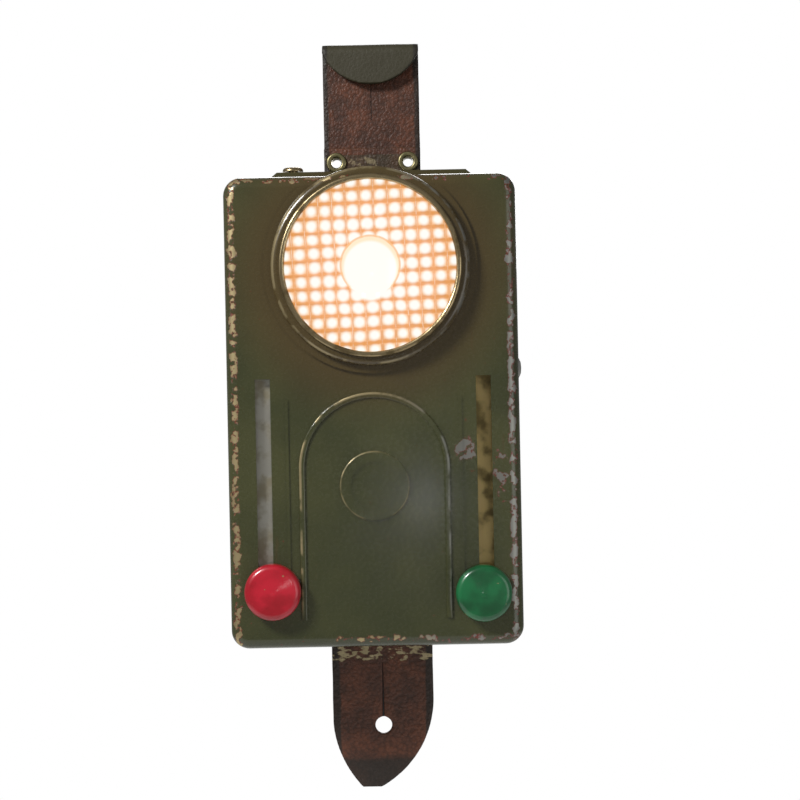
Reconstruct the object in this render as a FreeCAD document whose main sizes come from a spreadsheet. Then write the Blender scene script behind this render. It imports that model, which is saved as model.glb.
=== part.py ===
"""Pocket morse signal lamp with two colour filters, a morse button and leather button tabs.

Lengths are millimetres. Every piece is drawn in the case's own frame: x runs to the right from
the case's middle, y runs to the rear from the cover's outer face, z runs up from the case's
bottom. The finished part is then moved so that its origin is the upper button hole.
"""
import FreeCAD, Part
import math
import os
import re
import Sketcher

os.makedirs("parts", exist_ok=True)
doc = FreeCAD.newDocument("signal_lamp")

# Driving sizes

SIZES = {
    "case_width": 72.0,
    "case_height": 116.0,
    "case_depth": 30.0,
    "case_corner": 4.5,
    "case_edge": 2.8,
    "case_sheet": 0.8,
    "lens_drop": 22.55,
    "drum_radius": 24.4,
    "drum_rise": 3.4,
    "drum_reach": 6.6,
    "drum_edge": 1.4,
    "skirt_radius": 26.2,
    "skirt_rise": 0.9,
    "lens_hole": 21.7,
    "bezel_radius": 22.35,
    "bezel_bore": 21.0,
    "bezel_rise": 1.3,
    "fit_gap": 0.05,
    "lens_thick": 2.2,
    "lens_flange": 23.1,
    "pillow_rise": 1.5,
    "pillow_pitch": 3.42,
    "pillow_groove": 1.1,
    "eye_radius": 7.0,
    "eye_rise": 1.2,
    "ring_thick": 1.1,
    "ring_bore": 21.2,
    "bead_outer": 18.6,
    "bead_width": 1.6,
    "bead_rise": 0.6,
    "bead_top": 62.7,
    "bead_foot": 7.0,
    "line_place": 21.3,
    "line_width": 0.8,
    "line_rise": 0.3,
    "line_foot": 17.0,
    "line_top": 61.0,
    "boss_radius": 8.6,
    "boss_rise": 0.6,
    "boss_height": 39.6,
    "boss_dish": 5.8,
    "slot_place": 27.1,
    "slot_width": 3.7,
    "slot_play": 0.2,
    "cut_over": 5.0,
    "tool_reach": 20.0,
    "red_knob_place": 25.4,
    "red_knob_rise": 1.2,
    "green_knob_place": 26.2,
    "knob_chamfer": 0.5,
    "knob_height": 13.0,
    "knob_radius": 6.9,
    "knob_thick": 4.6,
    "knob_round": 1.6,
    "knob_lift": 0.3,
    "filter_travel": 47.0,
    "guide_half": 6.0,
    "guide_foot": 4.6,
    "carrier_sheet": 0.6,
    "carrier_ring": 1.6,
    "web_tall": 18.0,
    "carrier_radius": 23.0,
    "carrier_bore": 20.8,
    "strip_width": 7.0,
    "strip_foot": 5.0,
    "strip_top": 67.5,
    "filter_radius": 21.6,
    "filter_thick": 1.0,
    "layer_gap": 0.25,
    "frame_sheet": 0.7,
    "frame_web": 1.45,
    "frame_side": 0.3,
    "flange_length": 8.0,
    "cover_sheet": 0.8,
    "cover_rest": 0.1,
    "cover_flange": 4.0,
    "cover_gap": 0.3,
    "battery_gap": 1.2,
    "battery_front": 8.0,
    "battery_side": 5.0,
    "battery_head": 4.65,
    "seat_gap": 0.3,
    "pole_width": 7.0,
    "pole_sheet": 0.3,
    "pole_reach": 16.0,
    "pole_inset": 6.0,
    "pole_setback": 3.0,
    "pole_rise": 2.0,
    "reflector_deep": 14.5,
    "reflector_neck": 5.4,
    "reflector_sheet": 0.6,
    "reflector_lip": 1.3,
    "bulb_radius": 4.6,
    "bulb_cap": 4.55,
    "bulb_cap_length": 8.0,
    "bulb_pip": 1.2,
    "socket_wall": 0.6,
    "socket_length": 6.0,
    "plate_left": 25.7,
    "plate_right": 26.7,
    "plate_wide": 9.0,
    "plate_rise": 2.1,
    "plate_sheet": 0.5,
    "plate_slope": 2.5,
    "switch_setback": 14.0,
    "switch_place": 19.3,
    "switch_travel": 8.0,
    "stem_radius": 1.2,
    "stem_gap": 0.1,
    "head_radius": 2.6,
    "head_rise": 1.0,
    "press_travel": 0.5,
    "press_gap": 0.1,
    "shelf_drop": 7.0,
    "stem_tail": 1.4,
    "blade_half": 2.0,
    "slide_long": 7.0,
    "slide_wide": 6.0,
    "leg_sheet": 0.6,
    "spring_wire": 0.4,
    "spring_radius": 2.0,
    "spring_turns": 4.0,
    "spring_rest": 0.15,
    "collar_radius": 2.4,
    "collar_thick": 0.8,
    "hinge_radius": 1.3,
    "hinge_bore": 0.7,
    "pin_radius": 0.65,
    "hinge_inset": 1.4,
    "hinge_proud": 0.6,
    "knuckle_count": 5.0,
    "hinge_foot": 20.0,
    "hinge_top": 96.0,
    "knuckle_gap": 0.2,
    "leaf_rivet_height": 68.2,
    "leaf_foot": 45.2,
    "leaf_wide": 5.4,
    "leaf_sheet": 0.45,
    "leaf_stand": 0.3,
    "leaf_setback": 5.0,
    "tooth_height": 50.1,
    "tooth_half": 1.2,
    "rivet_radius": 2.7,
    "rivet_rise": 1.0,
    "rivet_shank": 1.1,
    "rivet_gap": 0.2,
    "tab_centre": 0.7,
    "tab_half": 12.4,
    "tab_thick": 1.8,
    "tab_back": 1.0,
    "tab_fold": 36.3,
    "fold_inside": 0.6,
    "flap_tip": 25.8,
    "doubled_top": 9.5,
    "tab_foot": 1.3,
    "button_hole": 2.15,
    "upper_hole_rise": 28.6,
    "lower_hole_drop": 23.8,
    "slit_wide": 0.5,
    "upper_slit_foot": 17.0,
    "lower_slit_top": 7.2,
    "tail_length": 39.8,
    "tail_half": 13.1,
    "tail_tip": 2.5,
    "tail_lean": 3.2,
    "eyelet_rest": 5.7,
    "eyelet_apart": 9.2,
    "eyelet_radius": 2.6,
    "eyelet_bore": 1.3,
    "eyelet_shank": 1.7,
    "eyelet_rise": 0.6,
    "lug_sheet": 1.0,
    "lug_rise": 8.6,
    "lug_foot": 6.5,
    "lug_rivet_apart": 6.5,
    "lug_half": 11.6,
    "lug_rivet": 1.5,
    "lug_shank": 0.8,
    "lower_rivet_apart": 7.0,
    "lower_overlap": 9.0,
}

sheet = doc.addObject("Spreadsheet::Sheet", "Sizes")
for row, (alias, amount) in enumerate(SIZES.items(), start=1):
    sheet.set(f"A{row}", alias)
    sheet.set(f"B{row}", str(amount))
    sheet.setAlias(f"B{row}", alias)
doc.recompute()


def size(alias):
    """The sheet's number behind an alias, for shapes that are worked out in code."""
    return float(getattr(sheet, alias))


def bound(text):
    """A formula on plain aliases, written as the document's expressions want it."""
    return re.sub(r"[a-z][a-z_]+", lambda word: "Sizes." + word.group(0), text)


# Places that several pieces share, as formulas on the sheet

FRONT = "case_depth"
LENS_UP = "(case_height - lens_drop)"
FRAME_BORE = "(lens_drop - case_sheet - frame_side - frame_web)"
BATTERY_TALL = f"({LENS_UP} - {FRAME_BORE} - reflector_lip - case_sheet - battery_head)"
BATTERY_WIDE = "(case_width - 2 * battery_side)"
BATTERY_THICK = "(case_depth - battery_front)"
FRAME_REAR = f"(cover_sheet + battery_gap + {BATTERY_THICK} + seat_gap)"
FRAME_FRONT = f"({FRAME_REAR} + frame_sheet)"
GREEN_REAR = f"({FRAME_FRONT} + layer_gap)"
RED_REAR = f"({GREEN_REAR} + carrier_ring + layer_gap)"
FILTER_REST = f"({LENS_UP} - filter_travel)"
SHELF_TOP = "(case_height - shelf_drop)"
LUG_RIVET_Y = "-tab_back - tab_thick - lug_foot + lug_rivet + seat_gap"
EYELET_UP = "(case_height + eyelet_rest)"
ORIGIN = ("tab_centre", "-tab_back", "case_height + upper_hole_rise")

nodes = []


def finish(piece, label, place=("0", "0", "0"), turn=None):
    """Name a finished sub-part and move it from the case's frame to the part's origin."""
    doc.recompute()
    piece.Label = label
    if turn is not None:
        piece.Placement = FreeCAD.Placement(FreeCAD.Vector(), turn)
    for axis, along, start in zip("xyz", place, ORIGIN):
        piece.setExpression(f"Placement.Base.{axis}", bound(f"{along} - ({start})"))
    nodes.append(piece)
    return piece


FORWARD = FreeCAD.Rotation(FreeCAD.Vector(1, 0, 0), 90)
SIDEWAYS = FreeCAD.Rotation(FreeCAD.Vector(0, 1, 0), 90)
UPWARD = FreeCAD.Rotation()
BACKWARD = FreeCAD.Rotation(FreeCAD.Vector(1, 0, 0), -90)


# Part primitives in the case's frame

def block(x, y, z, long, deep, tall):
    """A box from its left, front and lower corner."""
    piece = doc.addObject("Part::Box", "Block")
    for name, text in zip(("Length", "Width", "Height"), (long, deep, tall)):
        piece.setExpression(name, bound(text))
    for axis, text in zip("xyz", (x, y, z)):
        piece.setExpression(f"Placement.Base.{axis}", bound(text))
    return piece


def rod(x, y, z, radius, length, turn=UPWARD):
    """A cylinder from the middle of its first end."""
    piece = doc.addObject("Part::Cylinder", "Rod")
    piece.setExpression("Radius", bound(radius))
    piece.setExpression("Height", bound(length))
    piece.Placement = FreeCAD.Placement(FreeCAD.Vector(), turn)
    for axis, text in zip("xyz", (x, y, z)):
        piece.setExpression(f"Placement.Base.{axis}", bound(text))
    return piece


def joined(*pieces):
    """Pieces fused to one solid."""
    piece = doc.addObject("Part::MultiFuse", "Joined")
    piece.Shapes = list(pieces)
    piece.Refine = True
    return piece


def group(*pieces):
    """Separate solids kept in one sub-part."""
    piece = doc.addObject("Part::Compound", "Group")
    piece.Links = list(pieces)
    return piece


def without(base, *tools):
    """A piece with other pieces cut out of it."""
    piece = doc.addObject("Part::Cut", "Without")
    piece.Base = base
    piece.Tool = tools[0] if len(tools) == 1 else joined(*tools)
    return piece


def rounded(base, radius, wanted):
    """A piece with a round of one radius on the edges that a test picks."""
    doc.recompute()
    piece = doc.addObject("Part::Fillet", "Rounded")
    piece.Base = base
    edges = enumerate(base.Shape.Edges, start=1)
    piece.Edges = [(number, radius, radius) for number, edge in edges if wanted(edge)]
    return piece


# PartDesign bodies

def plane_of(body, role):
    """A body's own origin plane."""
    return next(part for part in body.Origin.OriginFeatures if part.Role == role)


def sketch_on(body, role, forward="0"):
    """An empty sketch on an origin plane, moved along the plane's normal."""
    sketch = body.newObject("Sketcher::SketchObject", "Sketch")
    sketch.AttachmentSupport = [(plane_of(body, role), "")]
    sketch.MapMode = "FlatFace"
    sketch.setExpression("AttachmentOffset.Base.z", bound(forward))
    return sketch


def pin_point(sketch, curve, corner, across, up):
    """Fix one end of a curve, or a circle's centre, by its distances from the origin."""
    point = sketch.getPoint(curve, corner)
    for kind, text, start in (("DistanceX", across, point.x), ("DistanceY", up, point.y)):
        if text is None:
            continue
        number = sketch.addConstraint(Sketcher.Constraint(kind, -1, 1, curve, corner, start))
        name = f"{kind}_{curve}_{corner}"
        sketch.renameConstraint(number, name)
        sketch.setExpression(f"Constraints.{name}", bound(text))


def outline(sketch, points):
    """A closed outline of straight lines through points given as pairs of formulas."""
    count = len(points)
    for number in range(count):
        turn = 2 * math.pi * number / count
        following = 2 * math.pi * (number + 1) / count
        start = FreeCAD.Vector(math.cos(turn), math.sin(turn), 0)
        end = FreeCAD.Vector(math.cos(following), math.sin(following), 0)
        sketch.addGeometry(Part.LineSegment(start, end))
    for number in range(count):
        sketch.addConstraint(
            Sketcher.Constraint("Coincident", number, 2, (number + 1) % count, 1))
    for number, (across, up) in enumerate(points):
        pin_point(sketch, number, 1, across, up)
    return sketch


def rectangle(sketch, left, right, low, high):
    """A closed rectangle between four formulas."""
    return outline(sketch, [(left, low), (right, low), (right, high), (left, high)])


def circle(sketch, across, up, radius):
    """A circle by its centre and radius."""
    curve = sketch.addGeometry(Part.Circle(FreeCAD.Vector(), FreeCAD.Vector(0, 0, 1), 1.0))
    pin_point(sketch, curve, 3, across, up)
    number = sketch.addConstraint(Sketcher.Constraint("Radius", curve, 1.0))
    name = f"Radius_{curve}"
    sketch.renameConstraint(number, name)
    sketch.setExpression(f"Constraints.{name}", bound(radius))
    return sketch


def pad(body, sketch, length):
    """Add material from the sketch's plane along its normal."""
    feature = body.newObject("PartDesign::Pad", "Pad")
    feature.Profile = sketch
    feature.setExpression("Length", bound(length))
    doc.recompute()
    return feature


def trim(body, sketch, length):
    """Cut from the sketch's plane along its normal whatever stands there."""
    feature = body.newObject("PartDesign::Pocket", "Pocket")
    feature.Profile = sketch
    feature.Reversed = True
    feature.setExpression("Length", bound(length))
    doc.recompute()
    return feature


def pocket(body, sketch, length):
    """Cut from the sketch's plane along its normal, and make sure that it cuts."""
    before = body.Shape.Volume
    feature = trim(body, sketch, length)
    if body.Shape.Volume >= before:
        raise ValueError(f"{body.Name} lost nothing to {feature.Name}")


def soften(body, radius, wanted):
    """Round the edges of a body that a test picks."""
    doc.recompute()
    base = body.Tip
    names = [f"Edge{n}" for n, edge in enumerate(base.Shape.Edges, start=1) if wanted(edge)]
    feature = body.newObject("PartDesign::Fillet", "Fillet")
    feature.Base = (base, names)
    feature.setExpression("Radius", bound(radius))
    doc.recompute()
    return feature


def turned(name, points):
    """A body of revolution about its own z axis, from pairs of radius and height."""
    body = doc.addObject("PartDesign::Body", name)
    sketch = outline(sketch_on(body, "XZ_Plane"), points)
    feature = body.newObject("PartDesign::Revolution", "Revolution")
    feature.Profile = sketch
    feature.ReferenceAxis = (sketch, ["V_Axis"])
    feature.Angle = 360.0
    doc.recompute()
    return body


def at_height(height, slack=0.01):
    """A test for edges that lie flat at one height of a body's own z."""
    return lambda edge: (abs(edge.BoundBox.ZMin - height) < slack
                         and abs(edge.BoundBox.ZMax - height) < slack)


def at_depth(depth, slack=0.01):
    """A test for edges that lie flat at one distance ahead of the cover's outer face."""
    return lambda edge: (abs(edge.BoundBox.YMin + depth) < slack
                         and abs(edge.BoundBox.YMax + depth) < slack)


# Front shell: a pressed tray with a stepped lens drum, beads, a boss and two knob slots

def front_shell():
    """The case's front and its four walls, with every pressed form and opening."""
    body = doc.addObject("PartDesign::Body", "FrontShell")
    half = "case_width / 2"
    flat = sketch_on(body, "XZ_Plane", "cover_sheet + cover_rest")
    rectangle(flat, f"-{half}", half, "0", "case_height")
    pad(body, flat, "case_depth - cover_sheet - cover_rest")
    depth = size("case_depth")
    long = depth - size("cover_sheet") - size("cover_rest")
    soften(body, "case_corner", lambda edge: edge.BoundBox.YLength > long - 0.01)
    soften(body, "case_edge", at_depth(depth))

    skirt = circle(sketch_on(body, "XZ_Plane", FRONT), "0", LENS_UP, "skirt_radius")
    pad(body, skirt, "skirt_rise")
    crest = sketch_on(body, "XZ_Plane", FRONT)
    top = "case_height - case_edge"
    rectangle(crest, f"-{half}", half, top, "case_height + skirt_radius")
    trim(body, crest, "skirt_rise")
    back = "case_depth - drum_reach"
    drum = circle(sketch_on(body, "XZ_Plane", back), "0", LENS_UP, "drum_radius")
    pad(body, drum, "drum_reach + drum_rise")
    soften(body, "drum_edge", at_depth(depth + size("drum_rise")))

    window = circle(sketch_on(body, "XZ_Plane", back), "0", LENS_UP, "lens_hole")
    pocket(body, window, "drum_reach + drum_rise")

    bead(body)
    for side in ("-", ""):
        line = sketch_on(body, "XZ_Plane", FRONT)
        near = f"{side}line_place"
        rectangle(line, f"{near} - line_width / 2", f"{near} + line_width / 2",
                  "line_foot", "line_top")
        pad(body, line, "line_rise")
    boss = circle(sketch_on(body, "XZ_Plane", FRONT), "0", "boss_height", "boss_radius")
    pad(body, boss, "boss_rise")
    soften(body, "boss_rise * 0.6", lambda edge: (
        at_depth(depth + size("boss_rise"))(edge)
        and abs(edge.BoundBox.Center.z - size("boss_height")) < 0.1))
    dish = sketch_on(body, "XZ_Plane", "case_depth + boss_rise / 2")
    pocket(body, circle(dish, "0", "boss_height", "boss_dish"), "boss_rise / 2")

    for place in ("-slot_place", "slot_place"):
        slot = sketch_on(body, "XZ_Plane", "case_depth - case_sheet * 2")
        rectangle(slot, f"{place} - slot_width / 2", f"{place} + slot_width / 2",
                  "knob_height - guide_foot - slot_play",
                  "knob_height + filter_travel + guide_half + slot_play")
        pocket(body, slot, "case_sheet * 3")

    switch = sketch_on(body, "XY_Plane", "case_height - case_sheet * 2")
    reach = "collar_radius + leg_sheet + stem_gap * 3"
    rectangle(switch, f"-switch_place - ({reach})", f"-switch_place + switch_travel + {reach}",
              "-switch_setback - collar_radius - stem_gap * 2",
              "-switch_setback + collar_radius + stem_gap * 2")
    pocket(body, switch, "case_sheet * 3")
    tooth = sketch_on(body, "YZ_Plane", "case_width / 2 - case_sheet * 2")
    rectangle(tooth, "-leaf_setback - tooth_half - slot_play",
              "-leaf_setback + tooth_half + slot_play",
              "tooth_height - tooth_half - slot_play", "tooth_height + tooth_half + slot_play")
    pocket(body, tooth, "case_sheet * 3")
    rivet = sketch_on(body, "YZ_Plane", "case_width / 2 - case_sheet * 2")
    circle(rivet, "-leaf_setback", "leaf_rivet_height", "rivet_shank")
    pocket(body, rivet, "case_sheet * 3")
    holes = [rod(f"tab_centre {side} lug_rivet_apart", LUG_RIVET_Y,
                 "case_height - cut_over", "lug_shank", "2 * cut_over") for side in "-+"]
    finish(without(body, cavity(), drum_hollow(), *holes), "front_shell")


def cavity():
    """The inside of the tray, with the rounds that the sheet's thickness leaves."""
    side = "case_width / 2 - case_sheet"
    inside = block(f"-({side})", "case_sheet - case_depth", "case_sheet", f"2 * ({side})",
                   "case_depth", "case_height - case_sheet * 2")
    long = size("case_depth")
    corner = size("case_corner") - size("case_sheet")
    upright = rounded(inside, corner, lambda edge: edge.BoundBox.YLength > long - 0.01)
    front = long - size("case_sheet")
    return rounded(upright, size("case_edge") - size("case_sheet"), at_depth(front))


def drum_hollow():
    """The round space inside the drum, for the lens and the raised filters."""
    return rod("0", "drum_reach - case_depth - case_sheet", LENS_UP,
               "drum_radius - case_sheet", "drum_reach + drum_rise - 2 * case_sheet", FORWARD)


def bead(body):
    """The arch-shaped bead: a half circle on two straight legs, open at the foot."""
    sketch = sketch_on(body, "XZ_Plane", FRONT)
    centre = size("bead_top") - size("bead_outer")
    outer = size("bead_outer")
    inner = outer - size("bead_width")
    foot = size("bead_foot")
    middle = FreeCAD.Vector(0, centre, 0)
    for radius in (outer, inner):
        ring = Part.Circle(middle, FreeCAD.Vector(0, 0, 1), radius)
        sketch.addGeometry(Part.ArcOfCircle(ring, 0, math.pi))
    for side in (1, -1):
        for radius in (outer, inner):
            sketch.addGeometry(Part.LineSegment(
                FreeCAD.Vector(side * radius, centre, 0), FreeCAD.Vector(side * radius, foot, 0)))
        sketch.addGeometry(Part.LineSegment(
            FreeCAD.Vector(side * outer, foot, 0), FreeCAD.Vector(side * inner, foot, 0)))
    joints = [(0, 1, 2, 1), (1, 1, 3, 1), (2, 2, 4, 1), (4, 2, 3, 2),
              (0, 2, 5, 1), (1, 2, 6, 1), (5, 2, 7, 1), (7, 2, 6, 2)]
    for first, corner, second, other in joints:
        sketch.addConstraint(Sketcher.Constraint("Coincident", first, corner, second, other))
    heights = "bead_top - bead_outer"
    for curve, radius in ((2, "bead_outer"), (3, "bead_outer - bead_width"),
                          (5, "-bead_outer"), (6, "-(bead_outer - bead_width)")):
        pin_point(sketch, curve, 1, radius, heights)
        pin_point(sketch, curve, 2, radius, "bead_foot")
    for curve in (0, 1):
        pin_point(sketch, curve, 3, None, heights)
    pad(body, sketch, "bead_rise")
    high = size("case_depth") + size("bead_rise")
    soften(body, "bead_width * 0.3", lambda edge: (
        at_depth(high)(edge) and edge.Length > size("bead_width") * 1.5
        and abs(edge.BoundBox.Center.z) < size("bead_top")))


front_shell()

# Lens group: bezel, moulded lens, retaining ring, reflector and bulb on one forward axis

LENS_AXIS = ("0", "-case_depth", LENS_UP)


def lens_bezel():
    """The plated ring whose neck sits in the drum's hole."""
    neck = "lens_hole - fit_gap"
    inner = "drum_rise - case_sheet"
    outer = "drum_rise + bezel_rise"
    body = turned("LensBezel", [
        ("bezel_bore", inner), (neck, inner), (neck, "drum_rise"),
        ("bezel_radius", "drum_rise"), ("bezel_radius", outer), ("bezel_bore", outer)])
    top = size("drum_rise") + size("bezel_rise")
    soften(body, "(bezel_radius - bezel_bore) * 0.42", at_height(top))
    finish(body, "lens_bezel", LENS_AXIS, FORWARD)


def lens():
    """Moulded glass: a flanged disc with a grid of grooves that leaves pillows, and an eye."""
    rear = size("drum_rise") - size("case_sheet") - size("lens_thick")
    flange = size("lens_thick")
    neck = size("bezel_bore") - size("fit_gap") * 2
    rise = size("pillow_rise")
    disc = Part.makeCylinder(size("lens_flange"), flange, FreeCAD.Vector(0, 0, rear))
    front = Part.makeCylinder(neck, rise, FreeCAD.Vector(0, 0, rear + flange))
    glass = disc.fuse(front)
    pitch = size("pillow_pitch")
    half = size("pillow_groove") / 2
    top = rear + flange + rise
    count = int(neck / pitch) + 1
    grooves = []
    for row in range(-count, count):
        place = (row + 0.5) * pitch
        wedge = Part.makePolygon([
            FreeCAD.Vector(place - half, -neck - 1, top + 0.01),
            FreeCAD.Vector(place + half, -neck - 1, top + 0.01),
            FreeCAD.Vector(place, -neck - 1, top - rise * 0.6),
            FreeCAD.Vector(place - half, -neck - 1, top + 0.01)])
        groove = Part.Face(wedge).extrude(FreeCAD.Vector(0, 2 * neck + 2, 0))
        crossing = groove.copy()
        crossing.rotate(FreeCAD.Vector(), FreeCAD.Vector(0, 0, 1), 90)
        grooves.extend([groove, crossing])
    glass = glass.cut(Part.makeCompound(grooves))
    eye = Part.makeCylinder(size("eye_radius"), rise, FreeCAD.Vector(0, 0, rear + flange))
    ball = (size("eye_radius") ** 2 + size("eye_rise") ** 2) / (2 * size("eye_rise"))
    dome = Part.makeSphere(ball, FreeCAD.Vector(0, 0, top + size("eye_rise") - ball))
    cap = dome.common(Part.makeCylinder(size("eye_radius"), 2 * size("eye_rise"),
                                        FreeCAD.Vector(0, 0, top - 0.01)))
    piece = doc.addObject("Part::Feature", "Lens")
    piece.Shape = glass.fuse([eye, cap])
    finish(piece, "lens", LENS_AXIS, FORWARD)


def lens_ring():
    """The ring behind the lens that holds its flange against the drum."""
    front = "drum_rise - case_sheet - lens_thick"
    rear = f"{front} - ring_thick"
    outer = "drum_radius - case_sheet - fit_gap"
    body = turned("LensRing", [("ring_bore", rear), (outer, rear), (outer, front),
                               ("ring_bore", front)])
    finish(body, "lens_ring", LENS_AXIS, FORWARD)


def reflector():
    """A spun bowl with a flat rim behind the frame and a neck for the socket."""
    deep = size("reflector_deep")
    wall = size("reflector_sheet")
    neck = size("reflector_neck")
    bore = size("lens_drop") - size("case_sheet") - size("frame_side") - size("frame_web")
    mouth = bore - size("seat_gap")
    rim = bore + size("reflector_lip") - size("seat_gap")
    belly = 0.62
    slant = 0.7

    def bowl(offset):
        """The bowl's arc, grown outward by an offset."""
        bend = FreeCAD.Vector(neck + (mouth - neck) * belly + offset * slant, 0,
                              -deep * belly - offset * slant)
        start = FreeCAD.Vector(mouth + offset, 0, -offset)
        end = FreeCAD.Vector(neck + offset, 0, -deep)
        return Part.Arc(start, bend, end).toShape()

    inside = bowl(0.0)
    outside = bowl(wall)
    corners = [FreeCAD.Vector(mouth, 0, 0), FreeCAD.Vector(rim, 0, 0),
               FreeCAD.Vector(rim, 0, -wall), FreeCAD.Vector(mouth + wall, 0, -wall)]
    lines = [Part.LineSegment(a, b).toShape() for a, b in zip(corners, corners[1:])]
    floor = Part.LineSegment(FreeCAD.Vector(neck + wall, 0, -deep),
                             FreeCAD.Vector(neck, 0, -deep)).toShape()
    wire = Part.Wire(Part.__sortEdges__([inside, *lines, outside, floor]))
    piece = doc.addObject("Part::Feature", "Reflector")
    piece.Shape = Part.Face(wire).revolve(FreeCAD.Vector(), FreeCAD.Vector(0, 0, 1), 360)
    finish(piece, "reflector", ("0", f"-{FRAME_REAR}", LENS_UP), FORWARD)


def bulb():
    """The bulb's glass, its screw cap with a contact pip, and the socket sleeve round it."""
    neck_place = f"-({FRAME_REAR} - reflector_deep)"
    radius = size("bulb_radius")
    cap_top = 1.0
    throat = radius * 0.82
    middle = cap_top + radius * 1.5
    profile = [
        Part.LineSegment(FreeCAD.Vector(0, 0, cap_top), FreeCAD.Vector(throat, 0, cap_top)),
        Part.LineSegment(FreeCAD.Vector(throat, 0, cap_top),
                         FreeCAD.Vector(radius, 0, middle)),
        Part.Arc(FreeCAD.Vector(radius, 0, middle),
                 FreeCAD.Vector(radius * math.sin(math.pi / 4), 0,
                                middle + radius * math.cos(math.pi / 4)),
                 FreeCAD.Vector(0, 0, middle + radius)),
        Part.LineSegment(FreeCAD.Vector(0, 0, middle + radius), FreeCAD.Vector(0, 0, cap_top))]
    wire = Part.Wire([curve.toShape() for curve in profile])
    piece = doc.addObject("Part::Feature", "BulbGlass")
    piece.Shape = Part.Face(wire).revolve(FreeCAD.Vector(), FreeCAD.Vector(0, 0, 1), 360)
    finish(piece, "bulb_glass", ("0", neck_place, LENS_UP), FORWARD)

    low = "1 - bulb_cap_length"
    cap = turned("BulbCap", [
        ("0", f"{low} - bulb_pip"), ("bulb_pip", f"{low} - bulb_pip"), ("bulb_pip * 1.4", low),
        ("bulb_cap", f"{low}"), ("bulb_cap", "1"), ("0", "1")])
    finish(cap, "bulb_cap", ("0", neck_place, LENS_UP), FORWARD)

    sleeve = "bulb_cap + fit_gap"
    wall = "bulb_cap + fit_gap + socket_wall"
    socket = turned("BulbSocket", [
        (sleeve, "-socket_length"), (wall, "-socket_length"), (wall, "-1"),
        ("reflector_neck + socket_wall + 2", "-1"), ("reflector_neck + socket_wall + 2", "0"),
        (sleeve, "0")])
    finish(socket, "bulb_socket", ("0", neck_place, LENS_UP), FORWARD)

    tongue = f"-({FRAME_REAR} - reflector_deep) - 1 + bulb_cap_length + bulb_pip"
    low = f"case_sheet + {BATTERY_TALL}"
    strap = joined(
        block("-pole_width / 2", tongue, low, "pole_width", "pole_sheet",
              f"{LENS_UP} - ({low}) + pole_width / 2"),
        block("-pole_width / 2", f"{tongue} - socket_length", low, "pole_width",
              "socket_length", "pole_sheet"))
    finish(strap, "centre_contact")


lens_bezel()
lens()
lens_ring()
reflector()
bulb()

# Inner frame and the two filters in their layers

def inner_frame():
    """The plate between battery and filters, with folded sides that rest on the case walls."""
    inside = "case_width / 2 - case_sheet - frame_side"
    low = "case_sheet"
    tall = "case_height - case_sheet * 2 - frame_side"
    plate = block(f"-({inside})", f"-{FRAME_FRONT}", low, f"2 * ({inside})", "frame_sheet", tall)
    hole = rod("0", f"-{FRAME_REAR} + cut_over", LENS_UP, FRAME_BORE,
               "frame_sheet + 2 * cut_over", FORWARD)
    sides = []
    for near in (f"-({inside})", f"{inside} - frame_sheet"):
        sides.append(block(near, f"-{FRAME_FRONT}", "case_corner + case_sheet", "frame_sheet",
                           "flange_length", "case_height - case_corner * 2 - case_sheet * 2"))
    trimmed = without(joined(plate, *sides), hole)
    corners = rounded(trimmed, size("case_corner") - size("case_sheet"), lambda edge: (
        abs(edge.BoundBox.YLength - size("frame_sheet")) < 0.01 and edge.Length < 1
        and abs(abs(edge.BoundBox.Center.x) - size("case_width") / 2) < 2
        and (edge.BoundBox.Center.z < 2 or edge.BoundBox.Center.z > size("case_height") - 2)))
    finish(corners, "inner_frame")


def filter_set(colour, side, rear, knob_x, knob_z):
    """One filter: its ring and strip, the coloured disc and the knob on its guide block."""
    axis = (f"-({rear})", FILTER_REST)
    ring = rod("0", axis[0], axis[1], "carrier_radius", "carrier_ring", FORWARD)
    place = f"{side}slot_place"
    strip = block(f"{place} - strip_width / 2", f"-({rear}) - carrier_sheet", "strip_foot",
                  "strip_width", "carrier_sheet", "strip_top - strip_foot")
    web_left = "-slot_place" if side else "0"
    web = block(web_left, f"-({rear}) - carrier_sheet", f"{FILTER_REST} - web_tall / 2",
                "slot_place", "carrier_sheet", "web_tall")
    guide = block(f"{place} - slot_width / 2 + slot_play",
                  "-case_depth - knob_lift", "knob_height - guide_foot",
                  "slot_width - 2 * slot_play", f"case_depth + knob_lift - ({rear})",
                  "guide_foot + guide_half")
    bore = rod("0", f"-({rear}) + cut_over", FILTER_REST, "carrier_bore",
               "carrier_ring + 2 * cut_over", FORWARD)
    seat = rod("0", f"-({rear}) - carrier_sheet", FILTER_REST, "filter_radius + fit_gap",
               "carrier_ring", FORWARD)
    carrier = without(joined(ring, strip, web, guide), bore, seat)
    finish(carrier, f"{colour}_carrier")

    disc = rod("0", f"-({rear}) - carrier_sheet", FILTER_REST, "filter_radius", "filter_thick",
               FORWARD)
    finish(group(disc), f"{colour}_filter")

    knob = turned(f"{colour}Knob", [
        ("0", "0"), ("knob_radius - knob_chamfer", "0"), ("knob_radius", "knob_chamfer"),
        ("knob_radius", "knob_thick - knob_chamfer"), ("0", "knob_thick")])
    soften(knob, "knob_round", at_height(size("knob_thick") - size("knob_chamfer")))
    finish(knob, f"{colour}_knob", (knob_x, "-case_depth - knob_lift", knob_z), FORWARD)


inner_frame()
filter_set("red", "-", RED_REAR, "-red_knob_place", "knob_height + red_knob_rise")
filter_set("green", "", GREEN_REAR, "green_knob_place", "knob_height")

# Switch on the case's top: a sliding carriage that holds the sprung morse button

BUTTON_AT = ("-switch_place", "-switch_setback")


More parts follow.
